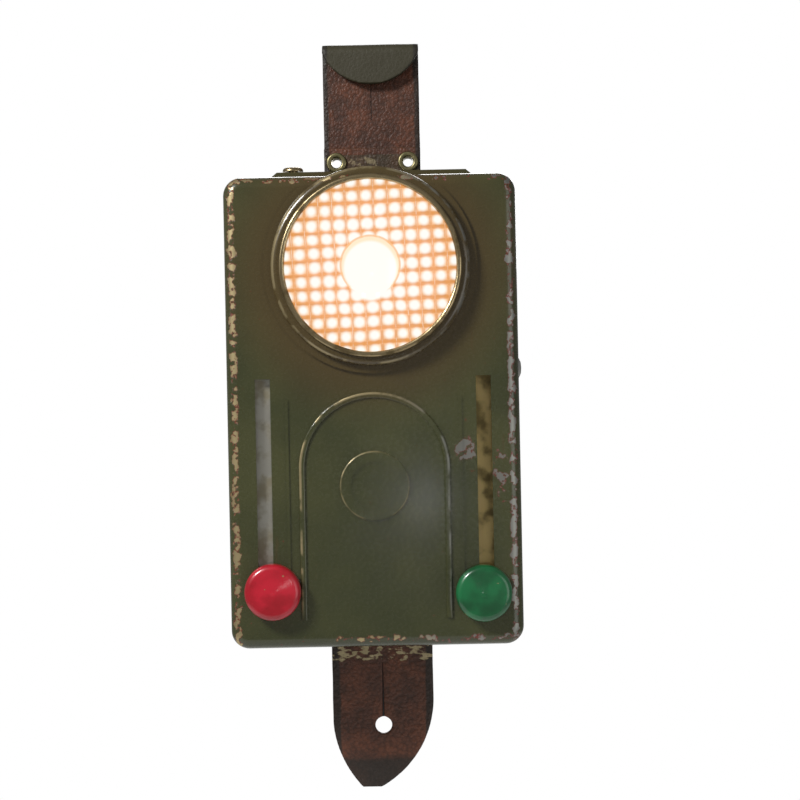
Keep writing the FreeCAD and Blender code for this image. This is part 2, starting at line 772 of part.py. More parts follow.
def switch_plate():
    """The cover strip with sloped ends, open below, with a slot for the button's stem."""
    left = -size("plate_left")
    right = size("plate_right")
    base = size("case_height")
    rise = size("plate_rise")
    wall = size("plate_sheet")
    slope = size("plate_slope")
    wide = size("plate_wide")
    rear = -size("switch_setback") + wide / 2

    def strip(inset, top, width):
        """A bar with sloped ends along x."""
        points = [FreeCAD.Vector(left + inset, rear, base),
                  FreeCAD.Vector(right - inset, rear, base),
                  FreeCAD.Vector(right - slope - inset, rear, base + top),
                  FreeCAD.Vector(left + slope + inset, rear, base + top)]
        face = Part.Face(Part.makePolygon([*points, points[0]]))
        return face.extrude(FreeCAD.Vector(0, -width, 0))

    hollow = strip(wall * 2, rise - wall, wide - wall * 2)
    hollow.translate(FreeCAD.Vector(0, -wall, 0))
    gap = size("stem_radius") + size("stem_gap") * 2
    slot = Part.makeBox(size("switch_travel") + gap * 2, gap * 2, rise * 2, FreeCAD.Vector(
        -size("switch_place") - gap, -size("switch_setback") - gap, base))
    piece = doc.addObject("Part::Feature", "SwitchPlate")
    piece.Shape = strip(0.0, rise, wide).cut(hollow).cut(slot)
    finish(piece, "switch_plate")


def switch_slide():
    """The carriage: a slider on the case top, two legs through it and a shelf for the spring."""
    x, y = BUTTON_AT
    leg = "collar_radius + stem_gap"
    slider = block(f"{x} - slide_long / 2", f"{y} - slide_wide / 2", "case_height + stem_gap / 2",
                   "slide_long", "slide_wide", "carrier_sheet")
    legs = [block(place, f"{y} - stem_radius", f"{SHELF_TOP} - leg_sheet", "leg_sheet",
                  "2 * stem_radius", "shelf_drop + leg_sheet + carrier_sheet")
            for place in (f"{x} - ({leg}) - leg_sheet", f"{x} + {leg}")]
    shelf = block(f"{x} - ({leg}) - leg_sheet", f"{y} - spring_radius", f"{SHELF_TOP} - leg_sheet",
                  f"2 * ({leg} + leg_sheet)", "2 * spring_radius", "leg_sheet")
    hole = rod(x, y, f"{SHELF_TOP} - 2", "stem_radius + stem_gap / 2", "shelf_drop + 4")
    finish(without(joined(slider, *legs, shelf), hole), "switch_slide")


def morse_button():
    """The domed button: head over the plate, a thin stem and a collar that the spring lifts."""
    collar = "-stem_gap - case_sheet - press_gap"
    body = turned("MorseButton", [
        ("0", "-shelf_drop - stem_tail"), ("stem_radius", "-shelf_drop - stem_tail"),
        ("stem_radius", f"{collar} - collar_thick"), ("collar_radius", f"{collar} - collar_thick"),
        ("collar_radius", collar), ("stem_radius", collar),
        ("stem_radius", "plate_rise + press_travel + press_gap"),
        ("head_radius", "plate_rise + press_travel + press_gap"),
        ("head_radius", "plate_rise + press_travel + press_gap + head_rise"),
        ("0", "plate_rise + press_travel + press_gap + head_rise")])
    top = (size("plate_rise") + size("press_travel") + size("press_gap") + size("head_rise"))
    soften(body, "head_rise * 0.85", at_height(top))
    finish(body, "morse_button", (*BUTTON_AT, "case_height"))


def button_spring():
    """The return spring round the stem, between the shelf and the collar."""
    low = size("spring_rest")
    collar = size("stem_gap") + size("case_sheet") + size("press_gap") + size("collar_thick")
    length = size("shelf_drop") - collar - low * 2
    wire = size("spring_wire") / 2
    turns = size("spring_turns")
    rise = length - wire * 2
    path = Part.makeHelix(rise / turns, rise, size("spring_radius") - wire)
    profile = Part.Wire(Part.Circle(
        FreeCAD.Vector(size("spring_radius") - wire, 0, 0), FreeCAD.Vector(0, 1, 0), wire).toShape())
    tube = Part.Wire(path.Edges).makePipeShell([profile], True, True)
    piece = doc.addObject("Part::Feature", "ButtonSpring")
    piece.Shape = tube
    finish(piece, "button_spring", (*BUTTON_AT, f"{SHELF_TOP} + spring_wire / 2 + spring_rest"))


def contact_blade():
    """The fixed contact under the button, on an insulator that hangs from the case's top."""
    x, y = BUTTON_AT
    height = f"{SHELF_TOP} - stem_tail - press_travel - seat_gap - pole_sheet"
    left = f"{x} - slide_long - blade_half"
    blade = block(left, f"{y} - blade_half", height, "slide_long + switch_travel + 2 * blade_half",
                  "2 * blade_half", "pole_sheet")
    finish(group(blade), "contact_blade")
    post = block(left, f"{y} - blade_half", f"{height} + pole_sheet", "blade_half",
                 "2 * blade_half", f"case_height - case_sheet - pole_sheet - ({height})")
    tall = size("shelf_drop")
    post = rounded(post, size("rivet_shank") * 0.5, lambda edge: edge.BoundBox.ZLength > tall)
    finish(post, "blade_insulator")


switch_plate()
switch_slide()
morse_button()
button_spring()
contact_blade()

# Battery with its two contact strips

def battery():
    """The flat battery, seated on the case's floor, and the strips folded over its top."""
    front = f"-(cover_sheet + battery_gap + {BATTERY_THICK})"
    top = f"case_sheet + {BATTERY_TALL}"
    cell = block(f"-{BATTERY_WIDE} / 2", front, "case_sheet", BATTERY_WIDE, BATTERY_THICK,
                 BATTERY_TALL)
    soft = rounded(cell, size("case_corner") - size("case_sheet") * 2,
                   lambda edge: edge.BoundBox.ZLength > size("case_depth"))
    finish(soft, "battery")
    strips = []
    for x in (f"-{BATTERY_WIDE} / 2 + pole_inset", f"{BATTERY_WIDE} / 2 - pole_inset - pole_width"):
        flat = block(x, f"{front} + pole_setback", top, "pole_width", "pole_reach", "pole_sheet")
        rise = block(x, f"{front} + pole_setback", top, "pole_width", "pole_sheet", "pole_rise")
        strips.append(joined(flat, rise))
    finish(group(*strips), "battery_strips")


battery()

# Back cover, its hinge and the spring catch

PIN_X = "-(case_width / 2 - hinge_inset)"
PIN_Y = "hinge_proud"
KNUCKLE = "((hinge_top - hinge_foot) / knuckle_count)"


def knuckle_span(number):
    """Where one barrel starts and how long it is."""
    return f"hinge_foot + {number} * {KNUCKLE} + knuckle_gap / 2", f"{KNUCKLE} - knuckle_gap"


def knuckles(first):
    """Every second barrel of the hinge, starting with the first or the second."""
    barrels = []
    for number in range(first, int(size("knuckle_count")), 2):
        start, long = knuckle_span(number)
        barrels.append(rod(PIN_X, PIN_Y, start, "hinge_radius", long))
    return barrels


def hinge_hole():
    """The bore through all barrels."""
    return rod(PIN_X, PIN_Y, "hinge_foot - 1", "hinge_bore", "hinge_top - hinge_foot + 2")


def back_cover():
    """The rear lid: a sheet with a rim inside the case on three sides, and its barrels."""
    left = f"({PIN_X} + hinge_radius + knuckle_gap)"
    right = "case_width / 2"
    plate = block(left, "-cover_sheet", "0", f"{right} - {left}", "cover_sheet", "case_height")
    corner = size("case_corner")
    plate = rounded(plate, corner, lambda edge: (
        abs(edge.BoundBox.YLength - size("cover_sheet")) < 0.01 and edge.BoundBox.Center.x > 0))
    inner_left = f"({left} + 1)"
    inner_right = "(case_width / 2 - case_sheet - cover_gap)"
    low = "(case_sheet + cover_gap)"
    high = "(case_height - case_sheet - cover_gap)"
    rim = block(inner_left, "-cover_sheet - cover_flange", low,
                f"{inner_right} - {inner_left}", "cover_flange", f"{high} - {low}")
    inner_corner = corner - size("case_sheet") - size("cover_gap")
    rim = rounded(rim, inner_corner, lambda edge: (
        abs(edge.BoundBox.YLength - size("cover_flange")) < 0.01 and edge.BoundBox.Center.x > 0))
    hollow = block(f"{inner_left} - 1", "-cover_sheet - cover_flange", f"{low} - 1",
                   f"{inner_right} - {inner_left} + 1 - cover_sheet", "cover_flange",
                   f"{high} - {low} + 1 - cover_sheet")
    rim = without(rim, hollow)
    leaves = []
    for barrel in range(1, int(size("knuckle_count")), 2):
        start, long = knuckle_span(barrel)
        leaves.append(block(PIN_X, "hinge_proud - hinge_radius", start,
                            "hinge_radius * 2 + knuckle_gap * 2", "cover_sheet", long))
    holes = [rod(f"tab_centre {side} lower_rivet_apart", "1", "lower_overlap / 2",
                 "rivet_shank", "3", FORWARD) for side in "-+"]
    finish(without(joined(plate, rim, *knuckles(1), *leaves), hinge_hole(), *holes), "back_cover")


def case_hinge():
    """The case's own barrels on a strip that is fixed inside the left wall."""
    barrels = knuckles(0)
    strip = block("-case_width / 2 + case_sheet", "-flange_length", "hinge_foot", "case_sheet * 0.6",
                  "flange_length - hinge_radius + hinge_proud - knuckle_gap",
                  "hinge_top - hinge_foot")
    webs = []
    for number in range(0, int(size("knuckle_count")), 2):
        start, long = knuckle_span(number)
        webs.append(block("-case_width / 2 + case_sheet", "-flange_length", start,
                          "case_sheet * 0.6", "flange_length + hinge_proud - hinge_radius * 0.7",
                          long))
    finish(without(joined(strip, *webs, *barrels), hinge_hole()), "case_hinge")
    pin = rod(PIN_X, PIN_Y, "hinge_foot - 0.4", "pin_radius", "hinge_top - hinge_foot + 0.8")
    head = rod(PIN_X, PIN_Y, "hinge_top + 0.1", "hinge_radius * 0.8", "0.5")
    finish(joined(pin, head), "hinge_pin")


def catch():
    """The leaf spring on the right wall, its tooth and turned-in foot, and the domed rivet."""
    wall = "case_width / 2"
    near = f"{wall} + leaf_stand"
    leaf = block(near, "-leaf_setback - leaf_wide / 2", "leaf_foot", "leaf_sheet", "leaf_wide",
                 "leaf_rivet_height - leaf_foot + rivet_radius")
    tall = size("leaf_wide")
    leaf = rounded(leaf, tall * 0.45, lambda edge: edge.BoundBox.XLength > 0.4 and edge.Length < 0.6)
    tooth = block(f"{wall} - case_sheet", "-leaf_setback - tooth_half", "tooth_height - tooth_half",
                  "case_sheet + leaf_stand + leaf_sheet / 2", "tooth_half * 2", "tooth_half * 2")
    hole = rod(f"{wall} - 1", "-leaf_setback", "leaf_rivet_height", "rivet_shank + fit_gap", "4",
               SIDEWAYS)
    finish(without(joined(leaf, tooth), hole), "catch_leaf")
    body = turned("CatchRivet", [
        ("0", "-case_sheet"), ("rivet_shank - fit_gap", "-case_sheet"),
        ("rivet_shank - fit_gap", "0"), ("rivet_shank * 1.5", "0"),
        ("rivet_shank * 1.5", "leaf_stand - rivet_gap * 0.8"),
        ("rivet_shank - fit_gap", "leaf_stand - rivet_gap * 0.8"),
        ("rivet_shank - fit_gap", "leaf_stand + leaf_sheet + rivet_gap"),
        ("rivet_radius", "leaf_stand + leaf_sheet + rivet_gap"),
        ("rivet_radius", "leaf_stand + leaf_sheet + rivet_gap + rivet_rise * 0.3"),
        ("rivet_radius * 0.55", "leaf_stand + leaf_sheet + rivet_gap + rivet_rise * 0.85"),
        ("0", "leaf_stand + leaf_sheet + rivet_gap + rivet_rise")])
    finish(body, "catch_rivet", (wall, "-leaf_setback", "leaf_rivet_height"), SIDEWAYS)


back_cover()
case_hinge()
catch()

# Leather tabs, their lugs and their eyelets

def leather(points, rear, thick):
    """A flat leather shape between two depths, from lines and arcs in the x and z directions."""
    wire = Part.Wire(Part.__sortEdges__([curve.toShape() for curve in points]))
    flat = Part.Face(wire)
    return flat.extrude(FreeCAD.Vector(0, -thick, 0)).translated(FreeCAD.Vector(0, -rear, 0))


def bar(left, right, low, high, rear, thick):
    """A plain flat piece of leather, or a cut in it."""
    return Part.makeBox(right - left, thick, high - low,
                        FreeCAD.Vector(left, -rear - thick, low))


def line(start, end):
    """A straight edge between two places given as x and z."""
    return Part.LineSegment(FreeCAD.Vector(start[0], 0, start[1]),
                            FreeCAD.Vector(end[0], 0, end[1]))


def arc(start, middle, end):
    """A round edge through three places given as x and z."""
    return Part.Arc(*(FreeCAD.Vector(x, 0, z) for x, z in (start, middle, end)))


def above(alias):
    """The height of a place that is given by its distance above the case's top."""
    return size("case_height") + size(alias)


def button_bore(height):
    """The round end of a buttonhole."""
    start = FreeCAD.Vector(size("tab_centre"), size("cut_over"), height)
    return Part.makeCylinder(size("button_hole"), size("tool_reach"), start,
                             FreeCAD.Vector(0, -1, 0))


def eyelet_bores():
    """The holes that the two eyelets pass through."""
    return rivet_bores(size("eyelet_shank") + size("fit_gap"), size("eyelet_apart"),
                       above("eyelet_rest"))


def rivet_bores(radius, apart, height):
    """Two bores through the leather, level with each other on both sides of its middle."""
    return Part.makeCompound([Part.makeCylinder(
        radius, size("tool_reach"),
        FreeCAD.Vector(size("tab_centre") + side * apart, size("cut_over"), height),
        FreeCAD.Vector(0, -1, 0)) for side in (-1, 1)])


def top_tab():
    """The upper tab, slit up to its buttonhole, its tip folded forward, and its short facing."""
    half = size("tab_half")
    mid = size("tab_centre")
    back = size("tab_back")
    thick = size("tab_thick")
    fold = above("tab_fold")
    inside = size("fold_inside")
    outer = inside + thick
    bend = fold - outer
    foot = above("tab_foot")
    rear = bar(mid - half, mid + half, foot, bend, back, thick)
    tip = above("flap_tip")
    flap_rear = back + thick + inside * 2
    flap = leather([line((mid - half, bend), (mid + half, bend)),
                    arc((mid + half, bend), (mid, tip), (mid - half, bend))], flap_rear, thick)
    centre = FreeCAD.Vector(mid - half, -(back + outer), bend)
    roll = Part.makeCylinder(outer, 2 * half, centre, FreeCAD.Vector(1, 0, 0))
    core = Part.makeCylinder(inside, 2 * half, centre, FreeCAD.Vector(1, 0, 0))
    lower = Part.makeBox(2 * half, outer * 4, outer * 2,
                         FreeCAD.Vector(mid - half, -(back + outer * 3), bend - outer * 2))
    fold_piece = roll.cut(core).cut(lower)
    doubled = bar(mid - half, mid + half, foot, above("doubled_top"),
                  back + thick + size("lug_sheet"), thick)
    slit = bar(mid - size("slit_wide") / 2, mid + size("slit_wide") / 2,
               above("upper_slit_foot"), above("upper_hole_rise"), back - inside,
               thick + inside * 2)
    shape = rear.fuse([flap, fold_piece])
    bore = button_bore(above("upper_hole_rise"))
    reach = size("tool_reach")
    flap_room = bar(mid - half, mid + half, tip, fold, flap_rear, reach)
    shape = shape.cut(bore.cut(flap_room)).cut(slit)
    for name, shape in (("top_tab", shape), ("tab_facing", doubled)):
        piece = doc.addObject("Part::Feature", "Leather")
        piece.Shape = shape.cut(eyelet_bores())
        finish(piece, name)


def bottom_tab():
    """The lower tab: fixed behind the case's foot, slit down to its hole, with a blunt point."""
    mid = size("tab_centre")
    left = mid - size("tail_half")
    right = mid + size("tail_half")
    tail = -size("tail_length")
    tip = size("tail_tip")
    lean = mid - size("tail_lean")
    top = size("lower_overlap")
    thick = size("tab_thick")
    rear = -thick - size("fit_gap")

    def share(out, down):
        """A place on the outline, as shares of the tab's half width and of its length."""
        return mid + out * size("tail_half"), tail * down

    right_shoulder = share(1.0, 0.40)
    left_shoulder = share(-1.0, 0.58)
    shape = leather([
        line((left, top), (right, top)), line((right, top), right_shoulder),
        arc(right_shoulder, share(0.75, 0.74), (lean + tip, tail)),
        line((lean + tip, tail), (lean - tip, tail)),
        arc((lean - tip, tail), share(-0.845, 0.79), left_shoulder),
        line(left_shoulder, (left, top))], rear, thick)
    slit = bar(mid - size("slit_wide") / 2, mid + size("slit_wide") / 2,
               -size("lower_hole_drop"), -size("lower_slit_top"), rear - thick, thick * 3)
    rivets = rivet_bores(size("rivet_shank"), size("lower_rivet_apart"), top / 2)
    piece = doc.addObject("Part::Feature", "BottomTab")
    piece.Shape = shape.cut(button_bore(-size("lower_hole_drop"))).cut(slit).cut(rivets)
    finish(piece, "bottom_tab")


def lugs_and_rivets():
    """The folded lug between the leather layers, its rivets, the eyelets and the lower rivets."""
    left = "tab_centre - lug_half"
    upright = block(left, "-tab_back - tab_thick - lug_sheet", "case_height", "2 * lug_half",
                    "lug_sheet", "lug_rise")
    foot = block(left, "-tab_back - tab_thick - lug_foot", "case_height", "2 * lug_half",
                 "lug_foot", "lug_sheet")
    sheet_edge = size("lug_sheet")
    bent = rounded(joined(upright, foot), size("eyelet_radius") * 0.7, lambda edge: (
        abs(edge.BoundBox.YLength - sheet_edge) < 0.01 and edge.Length < sheet_edge + 0.01
        and edge.BoundBox.Center.z > size("case_height") + sheet_edge))
    bores = [rod(f"tab_centre {side} eyelet_apart", "0", EYELET_UP,
                 "eyelet_shank + fit_gap", "10", FORWARD) for side in "-+"]
    bores += [rod(f"tab_centre {side} lug_rivet_apart", LUG_RIVET_Y,
                  "case_height - 1", "lug_shank", "3") for side in "-+"]
    finish(without(bent, *bores), "top_lug")

    through = "2 * tab_thick + lug_sheet"
    for side, name in (("-", "left"), ("+", "right")):
        eyelet = turned("Eyelet", [
            ("eyelet_bore", "-eyelet_rise / 2"), ("eyelet_radius", "-eyelet_rise / 2"),
            ("eyelet_radius", "0"), ("eyelet_shank", "0"), ("eyelet_shank", through),
            ("eyelet_radius", through), ("eyelet_radius", f"{through} + eyelet_rise"),
            ("eyelet_bore", f"{through} + eyelet_rise")])
        top = 2 * size("tab_thick") + size("lug_sheet") + size("eyelet_rise")
        soften(eyelet, "eyelet_rise * 0.8", at_height(top))
        finish(eyelet, f"{name}_eyelet",
               (f"tab_centre {side} eyelet_apart", "-tab_back", EYELET_UP), FORWARD)
        rivet = riveted("LugRivet", "lug_sheet", "case_sheet", "lug_shank", "lug_rivet")
        finish(rivet, f"{name}_lug_rivet",
               (f"tab_centre {side} lug_rivet_apart", LUG_RIVET_Y, "case_height"), UPWARD)
        low = riveted("LowerRivet", "tab_thick + fit_gap", "cover_sheet", "rivet_shank",
                      "eyelet_shank")
        finish(low, f"{name}_tab_rivet",
               (f"tab_centre {side} lower_rivet_apart", "0", "lower_overlap / 2"), BACKWARD)


def riveted(name, above, below, shank, head):
    """A rivet through two layers that meet at its own zero height."""
    inner = f"-({below}) - eyelet_rise / 2"
    outer = f"{above} + eyelet_rise"
    return turned(name, [
        ("0", inner), (head, inner), (head, f"-({below})"), (f"{shank} - fit_gap", f"-({below})"),
        (f"{shank} - fit_gap", above), (head, above), (f"{head} * 0.8", f"{outer} - 0.2"),
        ("0", outer)])


top_tab()
bottom_tab()
lugs_and_rivets()

# Checks on every object, then the files

doc.recompute()
failed = [item.Name for item in doc.Objects if {"Invalid", "Error"} & set(item.State)]
if failed:
    raise ValueError(f"failed objects: {failed}")
labels = [node.Label for node in nodes]
if len(set(labels)) != len(labels):
    raise ValueError("two sub-parts share a label")
for node in nodes:
    if node.Shape.isNull() or not node.Shape.isValid() or not node.Shape.Solids:
        raise ValueError(f"{node.Label} has no valid solid")
for node in nodes:
    node.Shape.exportStep(f"parts/{node.Label}.step")
print(len(nodes), "sub-parts written")
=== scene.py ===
"""Dresses the morse signal lamp: finishes for every piece, leather tabs, lamps and the camera."""

import logging
import math
from dataclasses import dataclass, field
from enum import Enum

import bpy
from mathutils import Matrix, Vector


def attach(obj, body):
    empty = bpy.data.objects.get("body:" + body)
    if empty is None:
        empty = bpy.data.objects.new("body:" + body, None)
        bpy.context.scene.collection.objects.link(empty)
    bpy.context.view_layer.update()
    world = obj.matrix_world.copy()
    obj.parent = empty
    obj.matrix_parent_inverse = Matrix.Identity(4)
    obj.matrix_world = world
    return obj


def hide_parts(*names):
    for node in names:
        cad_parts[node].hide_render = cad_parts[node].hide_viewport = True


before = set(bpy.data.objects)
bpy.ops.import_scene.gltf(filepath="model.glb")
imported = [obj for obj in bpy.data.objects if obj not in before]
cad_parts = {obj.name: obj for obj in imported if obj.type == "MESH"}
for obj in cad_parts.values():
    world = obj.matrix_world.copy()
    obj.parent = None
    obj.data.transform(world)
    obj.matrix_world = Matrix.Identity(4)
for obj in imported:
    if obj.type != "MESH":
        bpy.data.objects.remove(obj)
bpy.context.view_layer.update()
LOG = logging.getLogger("lamp")

MM = 0.001
CASE_ORIGIN = Vector((0.7, -1.0, 144.6)) * MM
LENS_AT = (0.0, 93.45)

Triple = tuple[float, float, float]
Span = tuple[float, float]


def place(x: float, y: float, z: float) -> Vector:
    """A point of the case's own frame in millimetres, as a point of the part's frame in metres."""
    return Vector((x, y, z)) * MM - CASE_ORIGIN


class Maths(Enum):
    """The Math node operations that the finishes use."""

    ADD = "ADD"
    SUBTRACT = "SUBTRACT"
    MULTIPLY = "MULTIPLY"
    DIVIDE = "DIVIDE"
    LARGER = "MAXIMUM"
    SMALLER = "MINIMUM"
    SIZE = "ABSOLUTE"
    POWER = "POWER"
    PART = "FRACT"


@dataclass(frozen=True)
class Grain:
    """Even noise between 0 and 1: its scale per millimetre, its detail and its stretch."""

    per_mm: float
    detail: float = 4.0
    stretch: Triple = (1.0, 1.0, 1.0)


@dataclass(frozen=True)
class Line:
    """A worn line or ring: its distance in millimetres, where it fades and how strong it is."""

    at: float
    fade: Span
    strength: float = 1.0


class Value:
    """A number that varies over a surface, with the usual operators."""

    def __init__(self, tree: "Wiring", socket: bpy.types.NodeSocket) -> None:
        """Wrap one output socket of a node tree."""
        self.tree = tree
        self.socket = socket

    def made(self, kind: Maths, first: object, second: object = None) -> "Value":
        """Add one Math node.

        Args:
            kind: The operation.
            first: A value or a number.
            second: A value, a number or nothing.

        Returns:
            The node's result.
        """
        links = {0: first} if second is None else {0: first, 1: second}
        node = self.tree.node("ShaderNodeMath", {"operation": kind.value}, links)
        return Value(self.tree, node.outputs[0])

    def __add__(self, other: object) -> "Value":
        """Sum."""
        return self.made(Maths.ADD, self, other)

    __radd__ = __add__

    def __sub__(self, other: object) -> "Value":
        """Difference."""
        return self.made(Maths.SUBTRACT, self, other)

    def __rsub__(self, other: object) -> "Value":
        """Difference from a number."""
        return self.made(Maths.SUBTRACT, other, self)

    def __mul__(self, other: object) -> "Value":
        """Product."""
        return self.made(Maths.MULTIPLY, self, other)

    __rmul__ = __mul__

    def __truediv__(self, other: object) -> "Value":
        """Quotient."""
        return self.made(Maths.DIVIDE, self, other)

    def __abs__(self) -> "Value":
        """Size without sign."""
        return self.made(Maths.SIZE, self)

    def __pow__(self, other: object) -> "Value":
        """Power."""
        return self.made(Maths.POWER, self, other)

    def larger(self, other: object) -> "Value":
        """The larger of two values."""
        return self.made(Maths.LARGER, self, other)

    def smaller(self, other: object) -> "Value":
        """The smaller of two values."""
        return self.made(Maths.SMALLER, self, other)

    def part(self) -> "Value":
        """What follows the decimal point."""
        return self.made(Maths.PART, self)

    def rise(self, low: float, high: float) -> "Value":
        """A smooth step from 0 at low to 1 at high."""
        node = self.tree.node(
            "ShaderNodeMapRange", {"interpolation_type": "SMOOTHSTEP"},
            {0: self, 1: low, 2: high, 3: 0.0, 4: 1.0})
        return Value(self.tree, node.outputs[0])

    def fall(self, low: float, high: float) -> "Value":
        """A smooth step from 1 at low to 0 at high."""
        return 1 - self.rise(low, high)

    def close(self, low: float, high: float) -> "Value":
        """1 where the value is near 0 on either side, and 0 from the higher distance on."""
        return abs(self).fall(low, high)


def distance(across: Value, up: Value) -> Value:
    """The length of the way across and up."""
    return (across ** 2 + up ** 2) ** 0.5


class Wiring:
    """A node tree and the nodes that are added to it."""

    def __init__(self, tree: bpy.types.NodeTree) -> None:
        """Take up a node tree."""
        self.nodes = tree.nodes
        self.links = tree.links

    def node(self, kind: str, settings: dict | None = None,
             values: dict | None = None) -> bpy.types.Node:
        """Add a node, set it up and fill its sockets.

        Args:
            kind: The node's type.
            settings: Attributes of the node.
            values: Numbers, colours or links by socket name or number.

        Returns:
            The new node.
        """
        node = self.nodes.new(kind)
        for key, value in (settings or {}).items():
            setattr(node, key, value)
        for key, value in (values or {}).items():
            self.feed(node.inputs[key], value)
        return node

    def feed(self, socket: bpy.types.NodeSocket, value: object) -> None:
        """Fill one socket.

        Args:
            socket: The input to fill.
            value: A value, an output socket, a colour or a number.
        """
        if isinstance(value, Value):
            self.links.new(value.socket, socket)
        elif isinstance(value, bpy.types.NodeSocket):
            self.links.new(value, socket)
        elif isinstance(value, tuple) and len(value) == 3 and len(socket.default_value) == 4:
            socket.default_value = (*value, 1.0)
        else:
            socket.default_value = value


class Shader(Wiring):
    """One material, whose patterns follow the part's own coordinates."""

    def __init__(self, name: str) -> None:
        """Make a material whose surface starts as one plain shader.

        Args:
            name: The material's name.
        """
        self.material = bpy.data.materials.new(name)
        self.material.use_nodes = True
        super().__init__(self.material.node_tree)
        self.surface = self.nodes["Principled BSDF"]
        self.point = self.node("ShaderNodeTexCoord").outputs["Object"]

    def along(self) -> tuple[Value, Value, Value]:
        """Measure the surface in the case's frame.

        Returns:
            The distances to the right, to the rear and up, in millimetres.
        """
        moved = self.node("ShaderNodeVectorMath", {"operation": "ADD"},
                          {0: self.point, 1: tuple(CASE_ORIGIN)})
        scaled = self.node("ShaderNodeVectorMath", {"operation": "SCALE"},
                           {0: moved.outputs[0], "Scale": 1 / MM})
        split = self.node("ShaderNodeSeparateXYZ", None, {0: scaled.outputs[0]})
        return tuple(Value(self, split.outputs[axis]) for axis in range(3))

    def noise(self, grain: Grain) -> Value:
        """Add even noise.

        Args:
            grain: Its scale, detail and stretch.

        Returns:
            A value between 0 and 1.
        """
        mapped = self.node("ShaderNodeMapping", None, {
            "Vector": self.point, "Scale": grain.stretch})
        node = self.node("ShaderNodeTexNoise", None, {
            "Vector": mapped.outputs[0], "Scale": grain.per_mm / MM, "Detail": grain.detail})
        return Value(self, node.outputs[0])

    def cells(self, per_mm: float) -> Value:
        """Distance in a pattern of cells, at a scale given per millimetre."""
        node = self.node("ShaderNodeTexVoronoi", None, {
            "Vector": self.point, "Scale": per_mm / MM})
        return Value(self, node.outputs[0])

    def mix(self, factor: object, first: object, second: object) -> bpy.types.NodeSocket:
        """Blend two colours by a factor."""
        node = self.node("ShaderNodeMix", {"data_type": "RGBA"}, {0: factor, 6: first, 7: second})
        return node.outputs[2]

    def bump(self, height: Value, strength: float, depth_mm: float) -> None:
        """Feed the normal with a height."""
        node = self.node("ShaderNodeBump", None, {
            "Strength": strength, "Distance": depth_mm * MM, "Height": height})
        self.links.new(node.outputs[0], self.surface.inputs["Normal"])

    def finish(self, **values: object) -> bpy.types.Material:
        """Set the surface's own sockets.

        Args:
            **values: What goes into each socket, by its name with underscores for spaces.

        Returns:
            The material.
        """
        for key, value in values.items():
            self.feed(self.surface.inputs[key.replace("_", " ")], value)
        return self.material


